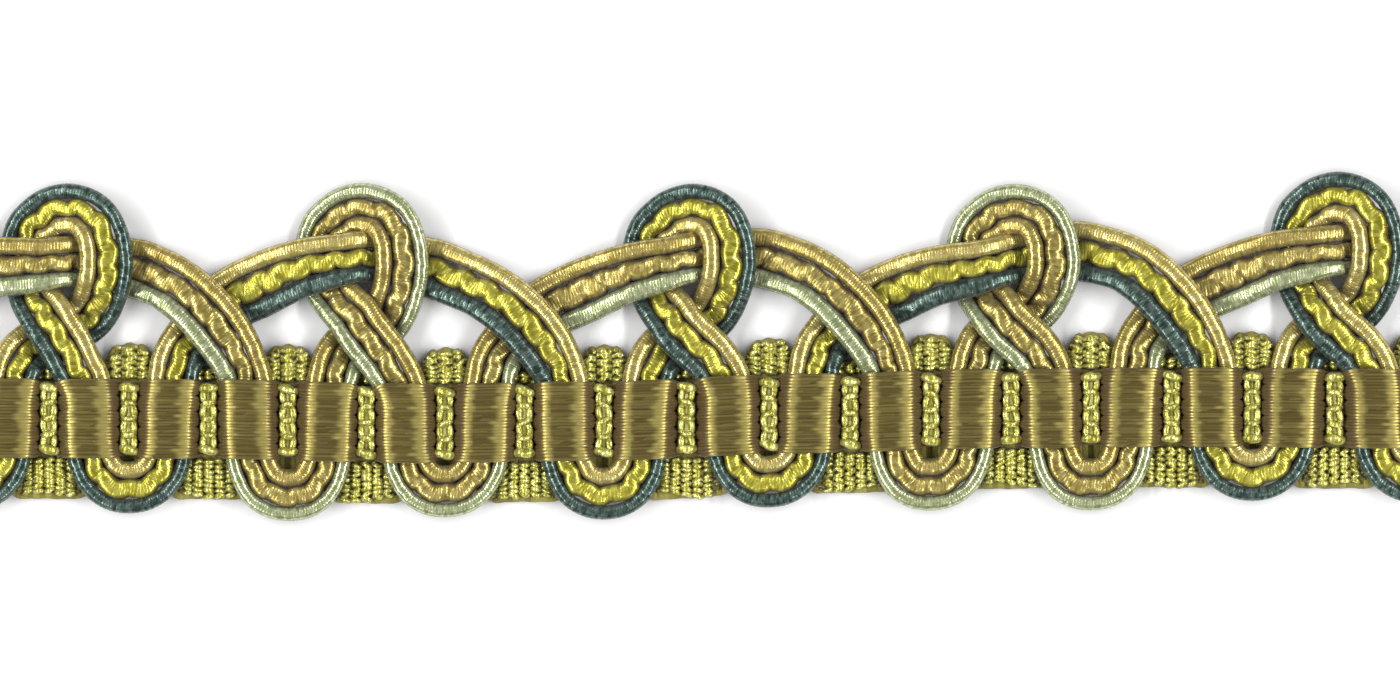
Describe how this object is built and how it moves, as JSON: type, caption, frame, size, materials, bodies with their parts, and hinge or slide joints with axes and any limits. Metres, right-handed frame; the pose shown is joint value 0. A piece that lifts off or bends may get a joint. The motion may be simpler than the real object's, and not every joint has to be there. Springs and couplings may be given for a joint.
{
  "type": "braid trim",
  "caption": "Flat decorative gimp braid of looped gold, crinkled, teal and sage cords held in a narrow woven satin heading, as a cut length lying on its back.",
  "frame": {"origin": "bottom centre of the bounding box, on the table the braid lies on", "axes": "+X along the braid, +Y up its face from the heading to the loops, +Z out of its face"},
  "size_m": [0.1466, 0.0346, 0.0035],
  "materials": {
    "heading_weave": "woven yarn",
    "satin_warp": "satin",
    "cord_light_gold": "wrapped cord, satin",
    "cord_yellow_crinkle": "crinkled cord",
    "cord_teal": "wrapped cord, satin",
    "cord_tan_gold": "wrapped cord, satin",
    "cord_gold_crinkle": "crinkled cord",
    "cord_sage": "wrapped cord, satin"
  },
  "bodies": {
    "root": {"ground_tape": "heading_weave", "satin_warp": "satin_warp", "cord_gold_a": "cord_light_gold", "cord_wave_a": "cord_yellow_crinkle", "cord_teal_a": "cord_teal", "cord_olive_b": "cord_tan_gold", "cord_wave_b": "cord_gold_crinkle", "cord_sage_b": "cord_sage"}
  },
  "joints": []
}
